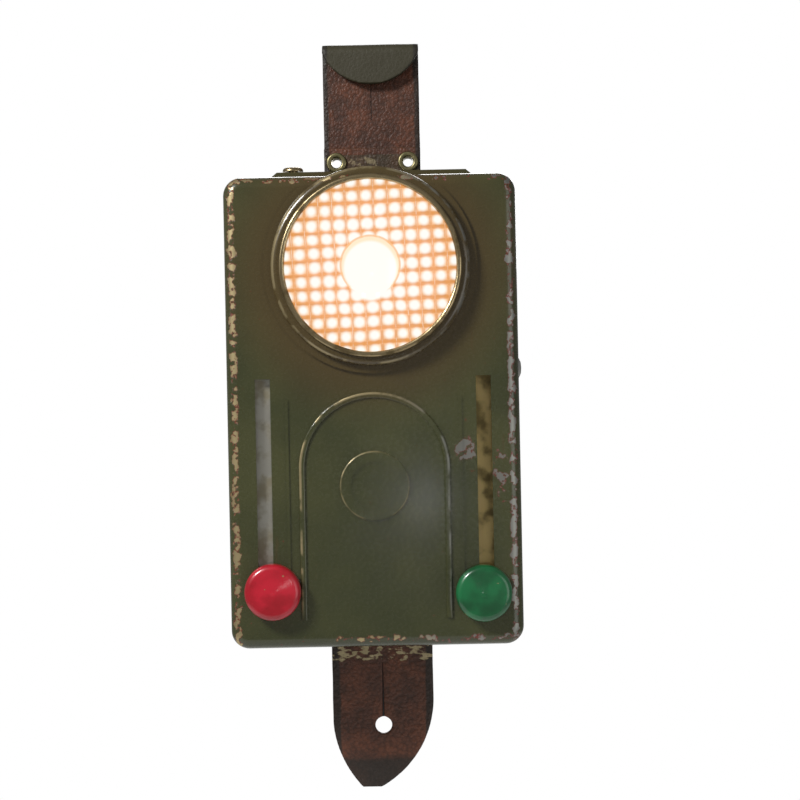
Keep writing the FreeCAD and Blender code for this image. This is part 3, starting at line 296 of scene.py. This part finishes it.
@dataclass(frozen=True)
class OliveEnamel:
    """Glossy olive enamel that chips to red primer and bare metal along the edges. Light is
    painted into it as well: a yellow glow of the lit lens around the drum, bare metal tinted
    yellow-lit on the left and white-lit on the right, and bright highlight lines along the raised
    crests.

    Places are in the case's frame, in millimetres. A span is where a smooth step starts and ends.
    """

    name: str = "olive_enamel"
    half_width: float = 36.0
    height: float = 116.0
    olive: Triple = (0.040, 0.044, 0.015)
    light: Triple = (0.062, 0.064, 0.022)
    # The gold tone below is painted light, the lit lens's glow on the enamel around the drum; the
    # scratches use it too.
    scratch_and_glow_gold: Triple = (0.080, 0.050, 0.016)
    primer: Triple = (0.15, 0.022, 0.012)
    # The next two colours are one bare metal painted under two lights: yellow-lit on the left side
    # and white-lit on the right side.
    bare: Triple = (0.46, 0.37, 0.20)
    cool_lit_silver: Triple = (0.28, 0.28, 0.25)
    cool_lit_side: Span = (0.0, 20.0)
    broad: Grain = Grain(0.05)
    fine: Grain = Grain(0.9, 6.0)
    chips: Grain = Grain(0.35, 8.0)
    scratch: Grain = Grain(0.6, 3.0, (1.0, 1.0, 0.12))
    streak: Grain = Grain(0.22, 8.0)
    fleck: Grain = Grain(0.8, 5.0)
    patched: Span = (0.3, 0.7)
    # Where the painted glow of the lit lens fades: out from the lens and towards the rear.
    glow_round: Span = (24.0, 42.0)
    glow_depth: Span = (-22.0, -12.0)
    front: Span = (-28.0, -25.0)
    side: Line = Line(1.9, (0.4, 1.9), 0.62)
    foot: Line = Line(1.9, (0.3, 1.8), 0.62)
    foot_across: Span = (-20.0, 0.0)
    crown: Line = Line(1.2, (0.3, 1.4), 0.55)
    corner: float = 5
    corner_strength: float = 0.04
    bruise_at: Span = (22.5, 48.0)
    bruise: Span = (1.6, 4.4)
    bruise_strength: float = 0.74
    smear_at: Span = (30.8, 42.0)
    smear: Span = (0.5, 4.2)
    smear_slim: float = 0.3
    smear_strength: float = 0.6
    chipped: float = 1.6
    bared_from: Span = (0.60, 0.68)
    edged_from: Span = (0.55, 0.60)
    arch_rise: float = 44.1
    arch: Line = Line(18.2, (0.12, 0.42))
    arch_foot: Span = (7.0, 14.0)
    boss_rise: float = 39.6
    boss: Line = Line(8.45, (0.08, 0.3), 0.9)
    proud: Span = (-30.5, -30.25)
    ledge: Line = Line(24.0, (0.1, 0.5), 0.8)
    ledge_depth: Span = (-32.8, -32.2)
    streaked: Span = (0.42, 0.58)
    flecked: Span = (0.735, 0.75)
    scratched: Span = (0.70, 0.73)

    def wear(self, x: Value, y: Value, z: Value) -> Value:
        """Find where hands and pockets rub the case.

        Args:
            x: The distance to the right.
            y: The distance to the rear.
            z: The distance up.

        Returns:
            How worn the enamel is, before its chips break it up.
        """
        across = abs(x)
        front = y.fall(*self.front)
        side = (across - self.half_width + self.side.at).close(*self.side.fade) * front
        foot = (z - self.foot.at).close(*self.foot.fade) * front
        foot = foot * (0.35 + x.rise(*self.foot_across) * 0.5)
        crown = (z - self.height + self.crown.at).close(*self.crown.fade) * self.crown.strength
        beside = (across - self.half_width + self.corner).larger(0)
        beyond = (abs(z - self.height / 2) - self.height / 2 + self.corner).larger(0)
        wear = (side * self.side.strength).larger(foot * self.foot.strength).larger(crown)
        wear = wear.larger(beside * beyond * self.corner_strength)
        bruise = distance(x - self.bruise_at[0], z - self.bruise_at[1]).fall(*self.bruise)
        upright = (z - self.smear_at[1]) * self.smear_slim
        smear = distance(x - self.smear_at[0], upright).fall(*self.smear)
        wear = wear.larger(bruise * self.bruise_strength)
        return wear.larger(smear * self.smear_strength)

    def crests(self, x: Value, y: Value, z: Value, near: Value) -> Value:
        """Find the raised lines that are rubbed bare and also painted as bright highlight lines:
        the bead, the boss and the drum's ledge.

        Args:
            x: The distance to the right.
            y: The distance to the rear.
            z: The distance up.
            near: The distance from the lens's axis.

        Returns:
            How strongly each place is rubbed bare and painted bright.
        """
        arch = distance(x, (z - self.arch_rise).larger(0)) - self.arch.at
        boss = distance(x, z - self.boss_rise) - self.boss.at
        crest = arch.close(*self.arch.fade) * z.rise(*self.arch_foot)
        crest = crest.larger(boss.close(*self.boss.fade) * self.boss.strength)
        crest = crest * y.fall(*self.proud)
        ledge = (near - self.ledge.at).close(*self.ledge.fade) * y.fall(*self.ledge_depth)
        return crest.larger(ledge * self.ledge.strength)

    def made(self) -> bpy.types.Material:
        """Build the enamel.

        Returns:
            The material.
        """
        shader = Shader(self.name)
        x, y, z = shader.along()
        near = distance(x - LENS_AT[0], z - LENS_AT[1])
        fine = shader.noise(self.fine)
        # Painted light: the lit lens's glow tints the enamel gold around the drum at the front.
        painted_lamp_glow = near.fall(*self.glow_round) * y.fall(*self.glow_depth)
        paint = shader.mix(shader.noise(self.broad).rise(*self.patched), self.olive, self.light)
        paint = shader.mix(painted_lamp_glow * 0.8, paint, self.scratch_and_glow_gold)
        chips = (shader.noise(self.chips) - 0.5) * self.chipped
        spread = self.wear(x, y, z) + chips + (fine - 0.5)
        edged = spread.rise(*self.edged_from)
        # Painted highlight: the crests are worn bare and also drawn as thin bright lines along
        # them.
        worn_and_highlit = self.crests(x, y, z, near) * shader.noise(self.streak).rise(*self.streaked)
        bare_and_highlit = spread.rise(*self.bared_from).larger(worn_and_highlit * 0.9)
        # Painted light: bare metal is tinted yellow-lit on the left side and white-lit on the
        # right side.
        metal = shader.mix(x.rise(*self.cool_lit_side), self.bare, self.cool_lit_silver)
        colour = shader.mix(edged, paint, self.primer)
        colour = shader.mix(bare_and_highlit, colour, metal)
        flecks = shader.noise(self.fleck).rise(*self.flecked)
        colour = shader.mix(flecks * 0.8, colour, self.primer)
        scratched = shader.noise(self.scratch).rise(*self.scratched) * 0.35
        # Scratches take the same gold as the painted glow.
        colour = shader.mix(scratched, colour, self.scratch_and_glow_gold)
        relief = (1 - edged) * 0.7 + fine * 0.12 + (1 - scratched) * 0.1
        shader.bump(relief, 0.5, 0.12)
        return shader.finish(
            Base_Color=colour, Metallic=bare_and_highlit * 0.85, Roughness=0.2 + fine * 0.14 + bare_and_highlit * 0.16,
            Coat_Weight=(1 - edged) * 0.35, Coat_Roughness=0.12)


@dataclass(frozen=True)
class WornMetal:
    """A metal with stains, fine scratches and dull patches."""

    name: str
    bright: Triple
    dull: Triple
    roughness: float
    stain: Grain = Grain(0.25, 7.0)
    stained: Span = (0.42, 0.66)
    grain: Grain = Grain(2.2, 3.0, (1.0, 1.0, 0.08))

    def made(self) -> bpy.types.Material:
        """Build the metal.

        Returns:
            The material.
        """
        shader = Shader(self.name)
        stain = shader.noise(self.stain).rise(*self.stained)
        grain = shader.noise(self.grain)
        colour = shader.mix(stain, self.bright, self.dull)
        shader.bump(grain, 0.25, 0.03)
        return shader.finish(Base_Color=colour, Metallic=1.0,
                             Roughness=self.roughness + stain * 0.22 + grain * 0.1)


@dataclass(frozen=True)
class KnobPaint:
    """Thick glossy paint with small nicks and shallow dimples."""

    name: str
    deep: Triple
    bright: Triple
    under: Triple = (0.30, 0.26, 0.12)
    cloud: Grain = Grain(0.16, 4.0)
    clouded: Span = (0.35, 0.65)
    nick: Grain = Grain(0.85, 6.0)
    nicked: Span = (0.70, 0.72)
    dimple: Grain = Grain(0.5, 2.0)

    def made(self) -> bpy.types.Material:
        """Build the paint.

        Returns:
            The material.
        """
        shader = Shader(self.name)
        cloud = shader.noise(self.cloud)
        nicks = shader.noise(self.nick).rise(*self.nicked)
        colour = shader.mix(cloud.rise(*self.clouded), self.deep, self.bright)
        colour = shader.mix(nicks, colour, self.under)
        shader.bump(shader.noise(self.dimple) + (1 - nicks) * 0.4, 0.35, 0.12)
        return shader.finish(Base_Color=colour, Roughness=0.24 + cloud * 0.16,
                             Coat_Weight=(1 - nicks) * 0.5, Coat_Roughness=0.1)


@dataclass(frozen=True)
class PebbledLeather:
    """Red-brown pebbled leather, dark and burnished at its edges, pale where it is cracked, and
    drawn near-black in its cuts as painted shade.

    Places are in the case's frame, in millimetres. A span is where a smooth step starts and ends.
    """

    name: str = "pebbled_leather"
    brown: Triple = (0.070, 0.022, 0.009)
    red: Triple = (0.135, 0.040, 0.015)
    dark: Triple = (0.012, 0.009, 0.005)
    flesh: Triple = (0.042, 0.037, 0.018)
    cracked: Triple = (0.42, 0.34, 0.19)
    # Near-black painted shade inside the cuts of the buttonholes.
    slit_shadow: Triple = (0.004, 0.003, 0.002)
    half: float = 12.4
    middle: float = 0.7
    pebbles_per_mm: float = 1.15
    pores_per_mm: float = 2.4
    cloud: Grain = Grain(0.14, 6.0)
    clouded: Span = (0.35, 0.68)
    pitted: Span = (0.3, 0.8)
    rim: Span = (2.4, 0.4)
    tip: Span = (-35.0, -29.0)
    burnished: Span = (0.35, 0.8)
    face: Span = (-4.2, -3.6)
    flap_foot: Span = (125.0, 126.0)
    fold: Span = (146.5, 148.5)
    facing_foot: Span = (116.0, 116.5)
    facing_head: Span = (123.6, 123.8)
    facing_strength: float = 0.6
    band_foot: Span = (-8.2, -6.4)
    band_head: Span = (0.0, 1.0)
    band_strength: float = 0.6
    crack: Grain = Grain(0.45, 8.0, (1.0, 1.0, 2.2))
    crack_spread: float = 2.4
    worn_from: Span = (0.6, 0.8)
    rub: Grain = Grain(0.5, 6.0)
    rubbed: Span = (0.58, 0.66)
    lower_foot: Span = (-22.0, -21.8)
    lower_head: Span = (-7.6, -7.2)
    upper_foot: Span = (132.6, 133.2)
    upper_head: Span = (150.0, 151.0)
    slit_edge: Span = (0.12, 0.34)
    slit_height: float = 22.0
    slit_run: float = 15.0
    slit_taper: float = 0.012

    def cut(self, x: Value, z: Value, flap: Value) -> Value:
        """Find the slits that run up from the two buttonholes.

        Args:
            x: The distance to the right.
            z: The distance up.
            flap: Where the folded tip covers the leather.

        Returns:
            1 inside a cut and 0 elsewhere.
        """
        lower = z.rise(*self.lower_foot) * z.fall(*self.lower_head)
        upper = z.rise(*self.upper_foot) * z.fall(*self.upper_head) * (1 - flap)
        run = (z + self.slit_height).larger(0).smaller(self.slit_run)
        breadth = abs(x - self.middle) + run * self.slit_taper
        return breadth.fall(*self.slit_edge) * lower.larger(upper)

    def made(self) -> bpy.types.Material:
        """Build the leather.

        Returns:
            The material.
        """
        shader = Shader(self.name)
        x, y, z = shader.along()
        pebble = shader.cells(self.pebbles_per_mm)
        pores = shader.cells(self.pores_per_mm)
        cloud = shader.noise(self.cloud)
        colour = shader.mix(cloud.rise(*self.clouded), self.brown, self.red)
        colour = shader.mix(pebble.rise(*self.pitted) * 0.4, colour, self.dark)
        rim = abs(x - self.middle).rise(self.half - self.rim[0], self.half - self.rim[1])
        edge = (rim.larger(z.fall(*self.tip)) + (cloud - 0.5) * 0.9).rise(*self.burnished)
        face = y.fall(*self.face)
        flap = face * z.rise(*self.flap_foot)
        inner = flap.larger(z.rise(*self.fold))
        colour = shader.mix(inner, colour, self.flesh)
        facing = z.rise(*self.facing_foot) * z.fall(*self.facing_head) * face
        colour = shader.mix(facing * self.facing_strength, colour, self.flesh)
        colour = shader.mix(edge * 0.85, colour, self.dark)
        band = z.rise(*self.band_foot) * z.fall(*self.band_head)
        cracks = (shader.noise(self.crack) - 0.5) * self.crack_spread
        worn = (band * self.band_strength + cracks).rise(*self.worn_from)
        worn = worn.larger(facing * shader.noise(self.rub).rise(*self.rubbed) * 0.4)
        colour = shader.mix(worn, colour, self.cracked)
        cut = self.cut(x, z, flap)
        # Painted shade: the cuts are drawn near-black.
        colour = shader.mix(cut, colour, self.slit_shadow)
        height = (1 - pebble) * 0.6 + (1 - pores) * 0.3 - worn * 0.2 - cut * 1.5
        shader.bump(height * (1 - inner * 0.7), 0.8, 0.35)
        return shader.finish(Base_Color=colour, Roughness=0.46 + pebble * 0.22 + worn * 0.2)


@dataclass(frozen=True)
class LitLens:
    """Moulded glass lit from behind: white dots on an orange net and a white-hot eye.

    Radii are in millimetres from the lens's axis. Fades of dots and bands are shares of the pitch.
    """

    name: str = "lit_lens"
    pitch: float = 3.42
    shift: float = 20.5
    column_lean: float = 0.012
    row_lean: float = 0.010
    wander: Grain = Grain(0.09, 2.0)
    column_wander: float = 0.35
    row_wander: float = 0.3
    hot: Triple = (1.0, 0.985, 0.93)
    net: Triple = (0.80, 0.36, 0.15)
    pillow: Triple = (0.96, 0.66, 0.42)
    rim: Triple = (0.70, 0.30, 0.09)
    eye: Triple = (1.0, 0.83, 0.60)
    ring: Triple = (0.93, 0.52, 0.25)
    glass: Triple = (0.03, 0.015, 0.006)
    bright_to: Span = (6.0, 23.0)
    rim_from: Span = (15.0, 21.5)
    dot: Span = (0.14, 0.47)
    row_band: Span = (0.26, 0.44)
    column_band: Span = (0.34, 0.46)
    seam: Line = Line(0.5, (0.0, 0.05), 0.5)
    cloud: Grain = Grain(0.5, 5.0)
    clouded: Span = (0.35, 0.75)
    eye_edge: Span = (6.8, 7.2)
    eye_ring: Line = Line(7.2, (0.1, 0.4), 0.8)
    heart: Span = (6.0, 6.9)
    heart_drop: float = 0.8
    heart_squeeze: float = 0.97
    heart_tail: float = 5
    heart_taper: float = 0.3

    def made(self) -> bpy.types.Material:
        """Build the glow.

        Returns:
            The material.
        """
        shader = Shader(self.name)
        x, _, z = shader.along()
        across = x - LENS_AT[0]
        up = z - LENS_AT[1]
        away = distance(across, up)
        wander = shader.noise(self.wander) - 0.5
        column = across / self.pitch + up * self.column_lean + wander * self.column_wander
        column = (column + self.shift).part() - 0.5
        row = up / self.pitch - across * self.row_lean + wander * self.row_wander
        row = (row + self.shift).part() - 0.5
        glow = away.fall(*self.bright_to)
        dots = (distance(column, row) - glow * 0.12 - wander * 0.08).fall(*self.dot)
        bands = abs(row).rise(*self.row_band).larger(abs(column).rise(*self.column_band) * 0.75)
        cloud = shader.noise(self.cloud).rise(*self.clouded)
        seams = (abs(column) - self.seam.at).close(*self.seam.fade) * cloud * self.seam.strength
        eye = away.fall(*self.eye_edge)
        ring = (away - self.eye_ring.at).close(*self.eye_ring.fade) * self.eye_ring.strength
        drop = distance(across, (up + self.heart_drop) * self.heart_squeeze)
        heart = drop - (0 - up - self.heart_tail).larger(0) * self.heart_taper
        colour = shader.mix(away.rise(*self.rim_from), self.net, self.rim)
        colour = shader.mix((1 - bands) * (0.55 + cloud * 0.35), colour, self.pillow)
        colour = shader.mix(dots, colour, self.hot)
        colour = shader.mix(seams, colour, self.hot)
        colour = shader.mix(eye, colour, self.eye)
        colour = shader.mix(ring, colour, self.ring)
        colour = shader.mix(heart.fall(*self.heart), colour, self.hot)
        return shader.finish(Base_Color=self.glass, Roughness=0.16,
                             Emission_Color=colour, Emission_Strength=1.0)


@dataclass(frozen=True)
class PlainStuff:
    """A finish with soft variation, such as fibre, card, coloured glass or a silvered bowl."""

    name: str
    tone: Triple
    shade: Triple
    roughness: float
    metallic: float = 0.0
    through: float = 0.0
    glow: float = 0.0
    glow_tint: Triple = (1.0, 0.75, 0.4)
    cloud: Grain = Grain(0.3, 5.0)
    clouded: Span = (0.35, 0.7)
    grain: Grain = Grain(2.0, 2.0)

    def made(self) -> bpy.types.Material:
        """Build the stuff.

        Returns:
            The material.
        """
        shader = Shader(self.name)
        cloud = shader.noise(self.cloud)
        colour = shader.mix(cloud.rise(*self.clouded), self.tone, self.shade)
        shader.bump(shader.noise(self.grain), 0.15, 0.05)
        return shader.finish(
            Base_Color=colour, Roughness=self.roughness + cloud * 0.08, Metallic=self.metallic,
            Transmission_Weight=self.through, Emission_Color=self.glow_tint,
            Emission_Strength=self.glow)


@dataclass
class Finishes:
    """Every material of the lamp by its name."""

    made: dict[str, bpy.types.Material] = field(default_factory=dict)

    def build(self) -> None:
        """Make all the materials."""
        worn = (
            WornMetal("dulled_plate", (0.46, 0.36, 0.20), (0.16, 0.12, 0.06), 0.24),
            WornMetal("spring_steel", (0.55, 0.54, 0.50), (0.22, 0.20, 0.17), 0.26),
            WornMetal("strip_silver", (0.62, 0.60, 0.52), (0.40, 0.36, 0.26), 0.34),
            WornMetal("aged_brass", (0.62, 0.47, 0.20), (0.25, 0.19, 0.08), 0.28),
            WornMetal("eyelet_brass", (0.36, 0.31, 0.16), (0.13, 0.12, 0.06), 0.3),
        )
        plain = (
            PlainStuff("pressed_fibre", (0.09, 0.04, 0.02), (0.13, 0.06, 0.03), 0.6),
            PlainStuff("battery_wrap", (0.34, 0.28, 0.17), (0.26, 0.21, 0.12), 0.7),
            PlainStuff("red_filter_glass", (0.7, 0.01, 0.015), (0.6, 0.01, 0.01), 0.05,
                       through=0.9),
            PlainStuff("green_filter_glass", (0.01, 0.5, 0.12), (0.01, 0.42, 0.1), 0.05,
                       through=0.9),
            PlainStuff("silvered_bowl", (0.82, 0.80, 0.74), (0.66, 0.60, 0.5), 0.08,
                       metallic=1.0),
            PlainStuff("bulb_glow", (1.0, 0.9, 0.7), (1.0, 0.85, 0.6), 0.1, glow=1.5),
        )
        knobs = (
            KnobPaint("red_knob_paint", (0.34, 0.004, 0.012), (0.54, 0.008, 0.026)),
            KnobPaint("green_knob_paint", (0.004, 0.075, 0.022), (0.006, 0.15, 0.045)),
        )
        for finish in (OliveEnamel(), PebbledLeather(), LitLens(), *worn, *plain, *knobs):
            self.made[finish.name] = finish.made()
            LOG.info("finish %s", finish.name)

    def dress(self, finish: str, *nodes: str) -> None:
        """Give CAD nodes a finish.

        Args:
            finish: The material's name.
            *nodes: The nodes that get it.
        """
        for node in nodes:
            mesh = bpy.data.objects[node].data
            mesh.materials.clear()
            mesh.materials.append(self.made[finish])
            LOG.info("%s: %s", node, finish)


@dataclass
class CaseGroup:
    """The pressed case with its cover, hinge, inner frame, battery and side catch."""

    enamelled: tuple[str, ...] = (
        "front_shell", "back_cover", "case_hinge", "switch_plate", "top_lug")
    steel: tuple[str, ...] = (
        "hinge_pin", "inner_frame", "catch_leaf", "catch_rivet", "switch_slide", "button_spring",
        "left_lug_rivet", "right_lug_rivet", "left_tab_rivet", "right_tab_rivet", "lens_ring")
    brass: tuple[str, ...] = (
        "contact_blade", "battery_strips", "centre_contact", "bulb_cap", "bulb_socket")

    def dress(self, finishes: Finishes) -> None:
        """Finish the case's pieces.

        Args:
            finishes: The lamp's materials.
        """
        finishes.dress("olive_enamel", *self.enamelled)
        finishes.dress("spring_steel", *self.steel)
        finishes.dress("aged_brass", *self.brass)
        finishes.dress("battery_wrap", "battery")
        finishes.dress("pressed_fibre", "blade_insulator")
        finishes.dress("dulled_plate", "morse_button")


@dataclass
class LightGroup:
    """Lens, bezel, reflector, bulb glass, the two filters, their carriers and their knobs."""

    looks: tuple[tuple[str, str], ...] = (
        ("lit_lens", "lens"),
        ("dulled_plate", "lens_bezel"),
        ("silvered_bowl", "reflector"),
        ("bulb_glow", "bulb_glass"),
        ("strip_silver", "red_carrier"),
        ("aged_brass", "green_carrier"),
        ("red_filter_glass", "red_filter"),
        ("green_filter_glass", "green_filter"),
        ("red_knob_paint", "red_knob"),
        ("green_knob_paint", "green_knob"),
    )

    def dress(self, finishes: Finishes) -> None:
        """Finish the optical pieces."""
        for finish, node in self.looks:
            finishes.dress(finish, node)


@dataclass
class LeatherTabs:
    """The three leather pieces, softened from their cut shapes, and the eyelets.

    Lengths are in millimetres.
    """

    merge: float = 0.001
    voxel: float = 0.40
    rounds: int = 3
    easing: float = 0.5
    wave_size: float = 6.0
    swell: float = 0.12
    wave_level: float = 0.75

    def merged(self, node: str) -> bpy.types.Object:
        """Copy a leather node and close its mesh.

        Args:
            node: The CAD node.

        Returns:
            The copy, alone selected and active.
        """
        piece = bpy.data.objects[node].copy()
        piece.data = bpy.data.objects[node].data.copy()
        piece.name = f"{node}_leather"
        piece.parent = None
        bpy.context.collection.objects.link(piece)
        bpy.ops.object.select_all(action="DESELECT")
        piece.select_set(True)
        bpy.context.view_layer.objects.active = piece
        bpy.ops.object.mode_set(mode="EDIT")
        bpy.ops.mesh.select_all(action="SELECT")
        bpy.ops.mesh.remove_doubles(threshold=MM * self.merge)
        bpy.ops.mesh.normals_make_consistent(inside=False)
        bpy.ops.object.mode_set(mode="OBJECT")
        return piece

    def soften(self, node: str, body: str, finishes: Finishes) -> None:
        """Model one leather piece over its cut shape.

        Args:
            node: The CAD node that the leather replaces.
            body: The body that it rides on.
            finishes: The lamp's materials.
        """
        piece = self.merged(node)
        remesh = piece.modifiers.new("Body", "REMESH")
        remesh.mode = "VOXEL"
        remesh.voxel_size = self.voxel * MM
        smooth = piece.modifiers.new("Burnished", "SMOOTH")
        smooth.iterations = self.rounds
        smooth.factor = self.easing
        cloud = bpy.data.textures.new(f"{node}_waves", "CLOUDS")
        cloud.noise_scale = self.wave_size * MM
        waves = piece.modifiers.new("Waves", "DISPLACE")
        waves.texture = cloud
        waves.texture_coords = "LOCAL"
        waves.strength = self.swell * MM
        waves.mid_level = self.wave_level
        for modifier in ("Body", "Burnished", "Waves"):
            bpy.ops.object.modifier_apply(modifier=modifier)
        bpy.ops.object.shade_smooth()
        piece.data.materials.clear()
        piece.data.materials.append(finishes.made["pebbled_leather"])
        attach(piece, body)
        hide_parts(node)
        LOG.info("%s: %d faces", piece.name, len(piece.data.polygons))

    def dress(self, finishes: Finishes) -> None:
        """Make the leather and finish the eyelets.

        Args:
            finishes: The lamp's materials.
        """
        self.soften("top_tab", "root", finishes)
        self.soften("tab_facing", "root", finishes)
        self.soften("bottom_tab", "cover", finishes)
        finishes.dress("eyelet_brass", "left_eyelet", "right_eyelet")


@dataclass(frozen=True)
class SoftLamp:
    """A square area lamp: its place in the case's frame, its side in millimetres, its watts."""

    name: str
    spot: Triple
    side: float
    power: float

    def hang(self, aim: Vector) -> None:
        """Put the lamp up.

        Args:
            aim: The point that it faces.
        """
        light = bpy.data.lights.new(self.name, "AREA")
        light.size = self.side * MM
        light.energy = self.power
        lamp = bpy.data.objects.new(self.name, light)
        lamp.location = place(*self.spot)
        lamp.rotation_euler = (aim - lamp.location).to_track_quat("-Z", "Y").to_euler()
        bpy.context.collection.objects.link(lamp)


@dataclass
class Studio:
    """Floor, lamps, world and the camera at the photograph's angle. Lengths are millimetres."""

    distance: float = 520.0
    target: Triple = (6.6, -20.0, 60.5)
    width: float = 200.0
    sensor: float = 36.0
    tilt: Triple = (90.0, 1.15, 0.0)
    ambient: float = 0.2
    white: Triple = (1.0, 1.0, 1.0)
    floor_height: float = -90.0
    floor_half: float = 230.0
    floor_tone: Triple = (0.82, 0.82, 0.82)
    lit_point: Triple = (0.0, -15.0, 60.0)
    lamps: tuple[SoftLamp, ...] = (
        SoftLamp("key", (-330.0, -330.0, 360.0), 110.0, 2.6),
        SoftLamp("fill", (320.0, -380.0, 40.0), 300.0, 0.4),
        SoftLamp("rear", (60.0, 420.0, 260.0), 300.0, 1.5),
        SoftLamp("glint", (17.8, -545.0, 11.3), 16.0, 0.009),
    )

    def floor(self) -> None:
        """Lay a plain pale round floor, well below the lamp."""
        centre = place(0.0, 0.0, self.floor_height)
        bpy.ops.object.select_all(action="DESELECT")
        bpy.ops.mesh.primitive_circle_add(vertices=64, radius=self.floor_half * MM,
                                          fill_type="NGON", location=centre)
        floor = bpy.context.object
        floor.name = "floor"
        shader = Shader("pale_floor")
        floor.data.materials.append(shader.finish(Base_Color=self.floor_tone, Roughness=0.8))

    def world(self) -> None:
        """Make the world white to the camera and through glass, and softer in all other rays."""
        world = bpy.data.worlds.new("studio")
        bpy.context.scene.world = world
        world.use_nodes = True
        wiring = Wiring(world.node_tree)
        rays = wiring.node("ShaderNodeLightPath")
        seen = Value(wiring, rays.outputs["Is Camera Ray"])
        seen = seen.larger(Value(wiring, rays.outputs["Is Transmission Ray"]))
        level = wiring.node("ShaderNodeMapRange", None, {0: seen, 3: self.ambient, 4: 1.0})
        background = wiring.nodes["Background"]
        wiring.feed(background.inputs["Strength"], level.outputs[0])
        wiring.feed(background.inputs["Color"], self.white)

    def camera(self) -> None:
        """Set a long lens straight ahead of the lamp, turned by the photograph's tilt."""
        data = bpy.data.cameras.new("camera")
        data.sensor_width = self.sensor
        data.lens = data.sensor_width * self.distance / self.width
        camera = bpy.data.objects.new("camera", data)
        x, y, z = self.target
        camera.location = place(x, y - self.distance, z)
        camera.rotation_euler = tuple(math.radians(turn) for turn in self.tilt)
        bpy.context.collection.objects.link(camera)
        bpy.context.scene.camera = camera

    def build(self) -> None:
        """Set up everything around the object."""
        bpy.context.scene.view_settings.view_transform = "Standard"
        self.camera()
        self.world()
        self.floor()
        for lamp in self.lamps:
            lamp.hang(place(*self.lit_point))


def main() -> None:
    """Build the lamp's looks in order."""
    logging.basicConfig(level=logging.INFO)
    studio = Studio()
    studio.build()
    finishes = Finishes()
    finishes.build()
    CaseGroup().dress(finishes)
    LightGroup().dress(finishes)
    LeatherTabs().dress(finishes)


if __name__ == "__main__":
    main()
